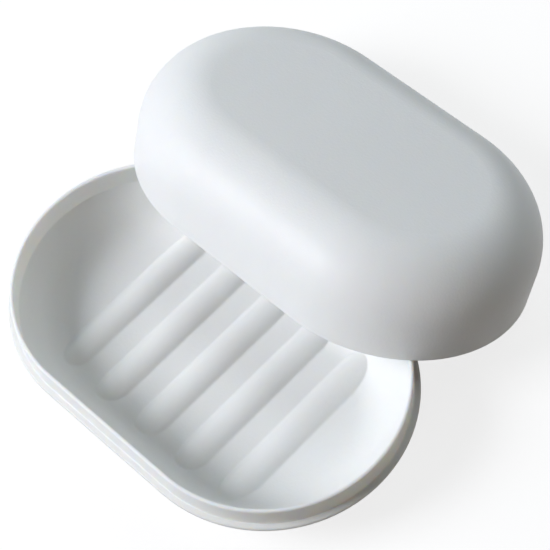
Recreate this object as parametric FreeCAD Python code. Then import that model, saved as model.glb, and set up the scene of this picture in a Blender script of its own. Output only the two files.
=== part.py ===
import FreeCAD, Part
import math
import os

# A moulded soap box: a ribbed tray, and a domed lid lying off against the back of its rim.
# Millimetres and degrees. X runs along the tray, +Y is the side the lid lies on, +Z is up.
# The origin is at the centre of the tray's foot, on the table.

V = FreeCAD.Vector

# Outline that tray and lid share: straight sides and half-round ends.
box_length = 120.0
box_width = 78.0

# Tray: heights above the table.
rim_height = 23.0
foot_height = 2.2

# Thin lip standing inside a ledge, where the closed lid sits.
lip_height = 7.0
lip_thickness = 1.1
ledge_width = 1.7
ledge_thickness = 1.0

# Bowl under the ledge: leaning wall, then a wide curve into the flat floor.
bowl_wall = 1.4
bowl_lean = 33.0
bowl_radius = 11.7

# Raised ribs across the floor, their width taken over the hollow blends at the foot.
rib_count = 5
rib_pitch = 14.9
rib_width = 9.4
rib_height = 2.0
rib_blend = 1.2

# Low rim under the floor that the tray stands on.
foot_rim_width = 1.6

# Lid: upright skirt, then a wide round shoulder into the flat top.
lid_height = 28.0
lid_shoulder_radius = 17.5
lid_clearance = 0.3
lid_wall = ledge_width - lid_clearance

# Where the middle of the lid's open side lies in plan.
lid_x = -4.1
lid_y = 50.9
lid_gap = 0.05
settling_steps = 20

# Narrow flat that breaks a moulded edge, and how far a cutting form runs past what it cuts.
edge_ease = 0.3
overrun = 1.0
tangent_sink = 0.01

# Heights and half widths that follow from the sizes above.
floor_height = foot_height + bowl_wall
ledge_height = rim_height - lip_height
lip_outside = box_width / 2 - ledge_width
lip_inside = lip_outside - lip_thickness
lean = math.radians(bowl_lean)
corner_inside = lip_inside - (ledge_height - floor_height) * math.tan(lean)
corner_reach = bowl_radius * math.tan((math.pi / 2 - lean) / 2)
floor_half_width = corner_inside - corner_reach


def rounded_section(corners):
    """Flat face in the YZ plane, with each corner (y, z, radius) rounded."""
    pieces = []
    joints = []
    count = len(corners)
    for i, (y, z, radius) in enumerate(corners):
        here = V(0, y, z)
        if radius == 0:
            joints.append((here, here))
            continue
        back = (V(0, corners[i - 1][0], corners[i - 1][1]) - here).normalize()
        ahead = (V(0, corners[(i + 1) % count][0], corners[(i + 1) % count][1]) - here).normalize()
        half = back.getAngle(ahead) / 2
        reach = radius / math.tan(half)
        inward = (back + ahead).normalize()
        middle = here + inward * (radius / math.sin(half) - radius)
        joints.append((here + back * reach, here + ahead * reach))
        pieces.append(Part.Arc(joints[-1][0], middle, joints[-1][1]).toShape())
    for i in range(count):
        start = joints[i][1]
        end = joints[(i + 1) % count][0]
        pieces.append(Part.makeLine(start, end))
    return Part.Face(Part.Wire(Part.__sortEdges__(pieces)))


def carry_round(half_section):
    """Solid made by carrying a half section along the straight sides and round both ends."""
    reach = (box_length - box_width) / 2
    start = half_section.translated(V(-reach, 0, 0))
    side = start.extrude(V(2 * reach, 0, 0))
    far_side = side.mirror(V(0, 0, 0), V(0, 1, 0))
    end = half_section.translated(V(reach, 0, 0)).revolve(V(reach, 0, 0), V(0, 0, 1), -180)
    far_end = end.mirror(V(0, 0, 0), V(1, 0, 0))
    return side.fuse([far_side, end, far_end]).removeSplitter()


def tray_outside():
    """Plug with the tray's outer surface: foot level, leaning wall, ledge and lip."""
    under_ledge = ledge_height - ledge_thickness
    wall_at_ledge = lip_inside + bowl_wall / math.cos(lean)
    corner = wall_at_ledge - (ledge_height - foot_height) * math.tan(lean)
    wall_under_ledge = wall_at_ledge - ledge_thickness * math.tan(lean)
    return carry_round(rounded_section([
        (0, foot_height, 0),
        (corner, foot_height, bowl_radius + bowl_wall),
        (wall_under_ledge, under_ledge, 0),
        (box_width / 2 - edge_ease, under_ledge, 0),
        (box_width / 2, under_ledge + edge_ease, 0),
        (box_width / 2, ledge_height - edge_ease, 0),
        (box_width / 2 - edge_ease, ledge_height, 0),
        (lip_outside, ledge_height, 0),
        (lip_outside, rim_height - edge_ease, 0),
        (lip_outside - edge_ease, rim_height, 0),
        (0, rim_height, 0),
    ]))


def tray_space():
    """Plug with the tray's inner surface, from the floor up past the rim."""
    return carry_round(rounded_section([
        (0, floor_height, 0),
        (corner_inside, floor_height, bowl_radius),
        (lip_inside, ledge_height, 0),
        (lip_inside, rim_height - edge_ease, 0),
        (lip_inside + edge_ease + overrun, rim_height + overrun, 0),
        (0, rim_height + overrun, 0),
    ]))


def rib_form(depth, x):
    """Long bar with the rib's rounded top, taken depth below the rib's own surface."""
    radius = (rib_width ** 2 / 4 + rib_height ** 2) / (2 * rib_height) - rib_blend
    centre = V(0, 0, floor_height + rib_height - radius)
    blend_z = floor_height + rib_blend - tangent_sink
    blend_x = math.sqrt((radius + rib_blend) ** 2 - (blend_z - centre.z) ** 2)
    blend = V(blend_x, 0, blend_z)
    out = (blend - centre).normalize()
    turn = centre + out * (radius - depth)
    foot = blend - V(0, 0, rib_blend + depth)
    halfway = blend - (out + V(0, 0, 1)).normalize() * (rib_blend + depth)
    crown = centre + V(0, 0, radius - depth)
    bottom = foot - V(0, 0, overrun)
    flip = lambda p: V(-p.x, p.y, p.z)
    outline = Part.Wire([
        Part.makeLine(bottom, foot),
        Part.Arc(foot, halfway, turn).toShape(),
        Part.Arc(turn, crown, flip(turn)).toShape(),
        Part.Arc(flip(turn), flip(halfway), flip(foot)).toShape(),
        Part.makeLine(flip(foot), flip(bottom)),
        Part.makeLine(flip(bottom), bottom),
    ])
    bar = Part.Face(outline).extrude(V(0, box_width, 0))
    return bar.translated(V(x, -box_width / 2, 0))


def rib_places():
    """Rib positions along the tray, centred on it."""
    return [rib_pitch * (i - (rib_count - 1) / 2) for i in range(rib_count)]


def oval_block(half_width, top, top_radius):
    """Solid oval standing at height 0, its lower edge eased and its upper edge rounded."""
    return carry_round(rounded_section([
        (0, 0, 0),
        (half_width - edge_ease, 0, 0),
        (half_width, edge_ease, 0),
        (half_width, top, top_radius),
        (0, top, 0),
    ]))


def oval_opening(half_width, top, top_radius):
    """Cutting form for the room inside such a block, with its lower edge eased outwards."""
    return carry_round(rounded_section([
        (0, -overrun, 0),
        (half_width + edge_ease + overrun, -overrun, 0),
        (half_width, edge_ease, 0),
        (half_width, top, top_radius),
        (0, top, 0),
    ]))


def foot_rim():
    """Standing rim round the flat of the floor, reaching up through the hollows of the ribs."""
    top = floor_height + rib_height
    outer = oval_block(floor_half_width + foot_rim_width, top, 0)
    return outer.cut(oval_opening(floor_half_width, top + overrun, 0))


def make_tray():
    """One moulded shell: ribs raised inside and hollow beneath, at even thickness."""
    ribs = [rib_form(0, x) for x in rib_places()]
    hollows = [rib_form(bowl_wall, x) for x in rib_places()]
    space = tray_space().cut(ribs)
    body = tray_outside().cut(hollows).fuse(foot_rim())
    return body.cut(space).removeSplitter()


def make_lid():
    """Domed shell of even wall standing on its open edge, before it is laid against the tray."""
    outside = oval_block(box_width / 2, lid_height, lid_shoulder_radius)
    inside = oval_opening(box_width / 2 - lid_wall, lid_height - lid_wall, lid_shoulder_radius - lid_wall)
    return outside.cut(inside).removeSplitter()


def edge_points(inset, count=1440):
    """Points round the lid's open side, inset from its outer surface."""
    reach = (box_length - box_width) / 2
    radius = box_width / 2 - inset
    points = []
    for i in range(count):
        angle = 2 * math.pi * (i + 0.5) / count
        centre = math.copysign(reach, math.cos(angle))
        points.append(V(centre + radius * math.cos(angle), radius * math.sin(angle), 0))
    return points


def beyond_rim(p):
    """How far a point lies outside the outer border of the rim's flat top, seen from above."""
    reach = (box_length - box_width) / 2
    return math.hypot(max(abs(p.x) - reach, 0), p.y) - (lip_outside - edge_ease)


def rim_crossings(points):
    """The leftmost and rightmost places where a line of points passes over the rim."""
    found = []
    for a, b in zip(points, points[1:] + points[:1]):
        da = beyond_rim(a)
        db = beyond_rim(b)
        if da * db <= 0 and da != db:
            found.append(a + (b - a) * (da / (da - db)))
    return min(found, key=lambda p: p.x), max(found, key=lambda p: p.x)


def lid_placement():
    """Placement that rests the lid on two places of the rim and one of the table."""
    inner = edge_points(lid_wall - edge_ease)
    outer = edge_points(edge_ease)
    place = FreeCAD.Placement(V(lid_x, lid_y, rim_height / 2), FreeCAD.Rotation())
    for step in range(settling_steps):
        left, right = rim_crossings([place.multVec(p) for p in inner])
        low = min([place.multVec(p) for p in outer], key=lambda p: (round(p.z, 6), -p.y))
        left.z = rim_height + lid_gap
        right.z = rim_height + lid_gap
        low.z = lid_gap
        normal = (right - left).cross(low - left).normalize()
        if normal.z < 0:
            normal = normal * -1
        height = left.z - (normal.x * (lid_x - left.x) + normal.y * (lid_y - left.y)) / normal.z
        place = FreeCAD.Placement(V(lid_x, lid_y, height), FreeCAD.Rotation(V(0, 0, 1), normal))
    return place


def main():
    os.makedirs("parts", exist_ok=True)
    tray = make_tray()
    lid = make_lid()
    lid.Placement = lid_placement().multiply(lid.Placement)
    tray.exportStep("parts/tray.step")
    lid.exportStep("parts/lid.step")


main()
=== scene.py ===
import math

import bpy
from mathutils import Matrix, Vector


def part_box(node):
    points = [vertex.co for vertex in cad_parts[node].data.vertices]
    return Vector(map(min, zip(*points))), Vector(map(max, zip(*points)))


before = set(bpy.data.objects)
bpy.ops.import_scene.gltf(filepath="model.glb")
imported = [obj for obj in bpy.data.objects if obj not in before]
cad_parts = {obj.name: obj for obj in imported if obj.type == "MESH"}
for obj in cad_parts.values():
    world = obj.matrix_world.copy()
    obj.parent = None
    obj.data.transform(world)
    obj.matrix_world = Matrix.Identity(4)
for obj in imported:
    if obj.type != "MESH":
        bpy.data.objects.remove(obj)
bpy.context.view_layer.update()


# Camera.
# A long lens looks down steeply on the box from its front right, held at a slight tilt,
# so the tray fills the lower left of the picture and the lid the upper right.
camera_azimuth = math.radians(50.26)
camera_elevation = math.radians(59.92)
camera_roll = math.radians(-8.08)
camera_distance = 0.4906
camera_aim = Vector((-0.0076, 0.0312, 0.0))
camera_lens = 116.3
sensor_width = 36.0


def outwards(azimuth, elevation):
    """Direction out from the box, with azimuth 0 at its front and growing to its right."""
    return Vector((
        math.sin(azimuth) * math.cos(elevation),
        -math.cos(azimuth) * math.cos(elevation),
        math.sin(elevation),
    ))


camera_back = outwards(camera_azimuth, camera_elevation)
level_right = Vector((math.cos(camera_azimuth), math.sin(camera_azimuth), 0.0))
level_up = camera_back.cross(level_right)
camera_right = level_right * math.cos(camera_roll) + level_up * math.sin(camera_roll)
camera_up = level_up * math.cos(camera_roll) - level_right * math.sin(camera_roll)
camera_turn = Matrix((camera_right, camera_up, camera_back)).transposed()
camera_data = bpy.data.cameras.new("camera")
camera_data.lens = camera_lens
camera_data.sensor_width = sensor_width
camera = bpy.data.objects.new("camera", camera_data)
camera.matrix_world = Matrix.Translation(camera_aim + camera_back * camera_distance) @ camera_turn.to_4x4()
bpy.context.collection.objects.link(camera)
bpy.context.scene.camera = camera
bpy.context.scene.view_settings.view_transform = "Standard"


# Floor.
# A plain white table top of matt board, much larger than the box.
# It shows white to the camera by its own colour and keeps the soft shadow of the box.
floor_half = 3.0
floor_grey = 0.46
floor_shadow_share = 0.6
floor_white = 0.79


def link(tree, source, target):
    tree.links.new(source, target)


def add_node(tree, kind, **inputs):
    """Node of that kind, with values written to its named inputs."""
    node = tree.nodes.new(kind)
    for name, value in inputs.items():
        node.inputs[name.replace("_", " ")].default_value = value
    return node


def add_math(tree, operation, first, second=0.0):
    """Result of a sum on a socket, with another socket or a number as the second value."""
    node = tree.nodes.new("ShaderNodeMath")
    node.operation = operation
    link(tree, first, node.inputs[0])
    if isinstance(second, float):
        node.inputs[1].default_value = second
    else:
        link(tree, second, node.inputs[1])
    return node.outputs[0]


def seen_directly(tree):
    """1 where a ray comes straight from the camera, or by a gloss or through clear stuff, else 0."""
    path = tree.nodes.new("ShaderNodeLightPath")
    gloss = add_math(tree, "MAXIMUM", path.outputs["Is Camera Ray"], path.outputs["Is Glossy Ray"])
    return add_math(tree, "MAXIMUM", gloss, path.outputs["Is Transmission Ray"])


def grey(level):
    return (level, level, level, 1.0)


floor_mesh = bpy.data.meshes.new("floor")
floor_corners = [(x * floor_half, y * floor_half, 0.0) for x, y in ((-1, -1), (1, -1), (1, 1), (-1, 1))]
floor_mesh.from_pydata(floor_corners, [], [(0, 1, 2, 3)])
floor = bpy.data.objects.new("floor", floor_mesh)
bpy.context.collection.objects.link(floor)

floor_material = bpy.data.materials.new("floor_board")
floor_material.use_nodes = True
floor_tree = floor_material.node_tree
floor_tree.nodes.clear()
floor_matt = add_node(floor_tree, "ShaderNodeBsdfDiffuse", Color=grey(floor_grey))
floor_shaded = add_node(floor_tree, "ShaderNodeBsdfDiffuse", Color=grey(floor_grey * floor_shadow_share))
floor_glow = add_node(floor_tree, "ShaderNodeEmission", Strength=floor_white)
floor_seen = floor_tree.nodes.new("ShaderNodeAddShader")
floor_mix = floor_tree.nodes.new("ShaderNodeMixShader")
floor_out = floor_tree.nodes.new("ShaderNodeOutputMaterial")
link(floor_tree, floor_shaded.outputs[0], floor_seen.inputs[0])
link(floor_tree, floor_glow.outputs[0], floor_seen.inputs[1])
link(floor_tree, seen_directly(floor_tree), floor_mix.inputs[0])
link(floor_tree, floor_matt.outputs[0], floor_mix.inputs[1])
link(floor_tree, floor_seen.outputs[0], floor_mix.inputs[2])
link(floor_tree, floor_mix.outputs[0], floor_out.inputs[0])
floor_mesh.materials.append(floor_material)


# Light.
# A window lights the box from the left front, and pale walls fill in weakly from the other sides.
# Each of them is a square panel that faces the middle of the box, in a nearly dark room.
lamp_aim = Vector((0.0, 0.03, 0.02))
lamp_distance = 0.9
room_colour = grey(1.0)
room_strength = 0.003
background_strength = 1.0


def hang_lamp(name, azimuth, elevation, side, watts, colour):
    """Square panel of that side, hung at those angles and facing the middle of the box."""
    panel = bpy.data.lights.new(name, "AREA")
    panel.shape = "SQUARE"
    panel.size = side
    panel.energy = watts
    panel.color = colour
    out = outwards(math.radians(azimuth), math.radians(elevation))
    lamp = bpy.data.objects.new(name, panel)
    lamp.location = lamp_aim + out * lamp_distance
    lamp.rotation_euler = out.to_track_quat("Z", "Y").to_euler()
    bpy.context.collection.objects.link(lamp)


hang_lamp("window", azimuth=-31.5, elevation=39.5, side=0.42, watts=7.95, colour=(0.935, 0.95, 0.995))
hang_lamp("back_fill", azimuth=180.0, elevation=45.0, side=0.8, watts=2.1, colour=(0.85, 0.95, 1.0))
hang_lamp("left_fill", azimuth=225.0, elevation=20.0, side=0.8, watts=1.5, colour=(0.92, 0.99, 1.0))
hang_lamp("right_fill", azimuth=90.0, elevation=20.0, side=0.8, watts=0.6, colour=(1.0, 0.76, 0.5))

room = bpy.data.worlds.new("room")
room.use_nodes = True
room_tree = room.node_tree
room_tree.nodes.clear()
room_fill = add_node(room_tree, "ShaderNodeBackground", Color=room_colour, Strength=room_strength)
room_white = add_node(room_tree, "ShaderNodeBackground", Color=room_colour, Strength=background_strength)
room_mix = room_tree.nodes.new("ShaderNodeMixShader")
room_out = room_tree.nodes.new("ShaderNodeOutputWorld")
link(room_tree, seen_directly(room_tree), room_mix.inputs[0])
link(room_tree, room_fill.outputs[0], room_mix.inputs[1])
link(room_tree, room_white.outputs[0], room_mix.inputs[2])
link(room_tree, room_mix.outputs[0], room_out.inputs[0])
bpy.context.scene.world = room


# Tray.
# One injection moulding in white polypropylene: ribbed bowl, ledge and thin lip.
# The plastic is satin, with the fine grain of an eroded mould, and lets some light through.
tray_colour = (0.90, 0.91, 0.90)
tray_roughness = 0.45
tray_pattern_start = 0.0
plastic_ior = 1.49
plastic_specular = 0.35

# Faint tones where the melt flowed, and duller and shinier patches in the satin.
flows_per_metre = 45.0
flow_darkening = 0.975
patches_per_metre = 160.0
patch_contrast = 0.08

# Corners that the mould leaves a little round. Where the softened face turns away
# from the flat one, hands have polished it.
corner_radius = 0.0008
corner_samples = 6
rubbed_likeness = 0.80
untouched_likeness = 0.99
rubbed_roughness_share = 0.75

# Grain of the mould.
grains_per_metre = 1300.0
grain_strength = 0.9
grain_depth = 0.00005

# Hairline scuffs: drawn out along one direction, and only the peaks of the pattern count.
hairs_per_metre = 90.0
hair_turn = (0.3, 0.2, 0.7)
hair_crowding = (1.0, 22.0, 22.0)
hair_foot = 0.66
hair_peak = 0.74
hair_strength = 0.3
hair_depth = 0.00003

# Where the ledge and lip lie, from the tray's box. The oval has straight sides and half-round
# ends, so its border keeps one distance from a line along its middle.
tray_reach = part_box("tray")[1]
lip_height = 0.007
ledge_width = 0.0017
ledge_height = tray_reach.z - lip_height
lip_outside = tray_reach.y - ledge_width
middle_line_half = tray_reach.x - tray_reach.y

# Light that goes into the plastic: how far, for red, green and blue, and how much of it.
# More goes into the lip above the ledge than into the walls.
glow_reach = 0.0015
glow_reach_by_colour = (1.0, 0.82, 0.62)
wall_glow = 0.35
lip_glow = 0.9
glow_blend = 0.001

# Painted shade on the ledge, a grey with a little warmth, which begins just outside the lip.
ledge_shade_colour = (0.90, 0.893, 0.885, 1.0)
ledge_shade_start = 0.0001
ledge_shade_full = 0.0004


def map_range(tree, value, from_min=0.0, from_max=1.0, to_min=0.0, to_max=1.0):
    """A socket's value, carried from one range over to another."""
    node = add_node(
        tree, "ShaderNodeMapRange",
        From_Min=from_min, From_Max=from_max, To_Min=to_min, To_Max=to_max,
    )
    link(tree, value, node.inputs["Value"])
    return node.outputs["Result"]


def noise(tree, where, scale, detail):
    """Cloudy pattern between 0 and 1."""
    node = add_node(tree, "ShaderNodeTexNoise", Scale=scale, Detail=detail)
    link(tree, where, node.inputs["Vector"])
    return node.outputs["Fac"]


def flow_tones(tree, where, colour):
    """The plastic's colour, a touch darker here and there."""
    tone = tree.nodes.new("ShaderNodeMixRGB")
    tone.inputs["Color1"].default_value = (*[c * flow_darkening for c in colour], 1.0)
    tone.inputs["Color2"].default_value = (*colour, 1.0)
    link(tree, noise(tree, where, flows_per_metre, detail=3.0), tone.inputs["Fac"])
    return tone.outputs["Color"]


def handled_satin(tree, where, softened, roughness):
    """Roughness that varies in patches and is lower on rubbed corners."""
    surface = tree.nodes.new("ShaderNodeNewGeometry")
    likeness = tree.nodes.new("ShaderNodeVectorMath")
    likeness.operation = "DOT_PRODUCT"
    link(tree, softened, likeness.inputs[0])
    link(tree, surface.outputs["Normal"], likeness.inputs[1])
    polish = map_range(
        tree, likeness.outputs["Value"],
        from_min=rubbed_likeness, from_max=untouched_likeness, to_min=rubbed_roughness_share,
    )
    patches = noise(tree, where, patches_per_metre, detail=5.0)
    satin = map_range(tree, patches, to_min=roughness - patch_contrast, to_max=roughness + patch_contrast)
    return add_math(tree, "MULTIPLY", satin, polish)


def grain_and_scuffs(tree, where, softened):
    """Surface direction with the mould's grain, and fine scratches cut into it."""
    grain = add_node(tree, "ShaderNodeBump", Strength=grain_strength, Distance=grain_depth)
    link(tree, noise(tree, where, grains_per_metre, detail=4.0), grain.inputs["Height"])
    link(tree, softened, grain.inputs["Normal"])
    drawn = add_node(tree, "ShaderNodeMapping", Rotation=hair_turn, Scale=hair_crowding)
    link(tree, where, drawn.inputs["Vector"])
    hairs = noise(tree, drawn.outputs["Vector"], hairs_per_metre, detail=3.0)
    scuffs = add_node(tree, "ShaderNodeBump", Strength=hair_strength, Distance=hair_depth)
    scuffs.invert = True
    link(tree, map_range(tree, hairs, from_min=hair_foot, from_max=hair_peak), scuffs.inputs["Height"])
    link(tree, grain.outputs["Normal"], scuffs.inputs["Normal"])
    return scuffs.outputs["Normal"]


def moulded_plastic(name, colour, roughness, pattern_start):
    """White satin polypropylene with fine grain, faint flow tones and rubbed corners."""
    material = bpy.data.materials.new(name)
    material.use_nodes = True
    tree = material.node_tree
    place = tree.nodes.new("ShaderNodeTexCoord")
    shift = add_node(tree, "ShaderNodeMapping", Location=(pattern_start, pattern_start, pattern_start))
    link(tree, place.outputs["Object"], shift.inputs["Vector"])
    where = shift.outputs["Vector"]
    corners = add_node(tree, "ShaderNodeBevel", Radius=corner_radius)
    corners.samples = corner_samples
    softened = corners.outputs["Normal"]

    shader = tree.nodes["Principled BSDF"]
    link(tree, flow_tones(tree, where, colour), shader.inputs["Base Color"])
    link(tree, handled_satin(tree, where, softened, roughness), shader.inputs["Roughness"])
    link(tree, grain_and_scuffs(tree, where, softened), shader.inputs["Normal"])
    shader.inputs["Subsurface Weight"].default_value = wall_glow
    shader.inputs["Subsurface Radius"].default_value = glow_reach_by_colour
    shader.inputs["Subsurface Scale"].default_value = glow_reach
    shader.inputs["IOR"].default_value = plastic_ior
    shader.inputs["Specular IOR Level"].default_value = plastic_specular
    return material


def spot_on_part(tree):
    """X, Y and Z of the spot, in metres on the part's own axes."""
    place = tree.nodes.new("ShaderNodeTexCoord")
    split = tree.nodes.new("ShaderNodeSeparateXYZ")
    link(tree, place.outputs["Object"], split.inputs["Vector"])
    return split.outputs


def let_light_through_lip(material):
    """The lip is the thinnest wall, and more of the window light comes through it."""
    tree = material.node_tree
    glow = map_range(
        tree, spot_on_part(tree)["Z"],
        from_min=ledge_height - glow_blend, from_max=ledge_height + glow_blend,
        to_min=wall_glow, to_max=lip_glow,
    )
    link(tree, glow, tree.nodes["Principled BSDF"].inputs["Subsurface Weight"])


def paint_shade_on_ledge(material):
    """Painted shade: the whole ledge is made a touch greyer, so that its lit top shows less white."""
    tree = material.node_tree
    spot = spot_on_part(tree)
    past_end = add_math(tree, "SUBTRACT", add_math(tree, "ABSOLUTE", spot["X"]), middle_line_half)
    from_line = tree.nodes.new("ShaderNodeCombineXYZ")
    link(tree, add_math(tree, "MAXIMUM", past_end), from_line.inputs["X"])
    link(tree, spot["Y"], from_line.inputs["Y"])
    distance = tree.nodes.new("ShaderNodeVectorMath")
    distance.operation = "LENGTH"
    link(tree, from_line.outputs["Vector"], distance.inputs[0])
    on_ledge = map_range(
        tree, distance.outputs["Value"],
        from_min=lip_outside + ledge_shade_start, from_max=lip_outside + ledge_shade_full,
    )
    # Painted shade: this grey is multiplied into the plastic's colour over the ledge.
    shade_paint = add_node(tree, "ShaderNodeMixRGB", Color2=ledge_shade_colour)
    shade_paint.blend_type = "MULTIPLY"
    base = tree.nodes["Principled BSDF"].inputs["Base Color"]
    link(tree, on_ledge, shade_paint.inputs["Fac"])
    link(tree, base.links[0].from_socket, shade_paint.inputs["Color1"])
    link(tree, shade_paint.outputs["Color"], base)


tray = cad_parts["tray"]
tray_material = moulded_plastic("tray_plastic", tray_colour, tray_roughness, tray_pattern_start)
let_light_through_lip(tray_material)
# The ledge gets painted shade in its colour.
paint_shade_on_ledge(tray_material)
for slot in tray.material_slots:
    slot.material = tray_material


# Lid.
# The second moulding: a domed oval shell with an upright skirt and a flat top.
# It is of the same plastic, one batch cooler in tone, and leans on the tray's back rim.
lid_colour = (0.90, 0.91, 0.91)
lid_roughness = 0.48
lid_pattern_start = 0.37
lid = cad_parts["lid"]
lid_material = moulded_plastic("lid_plastic", lid_colour, lid_roughness, lid_pattern_start)
for slot in lid.material_slots:
    slot.material = lid_material
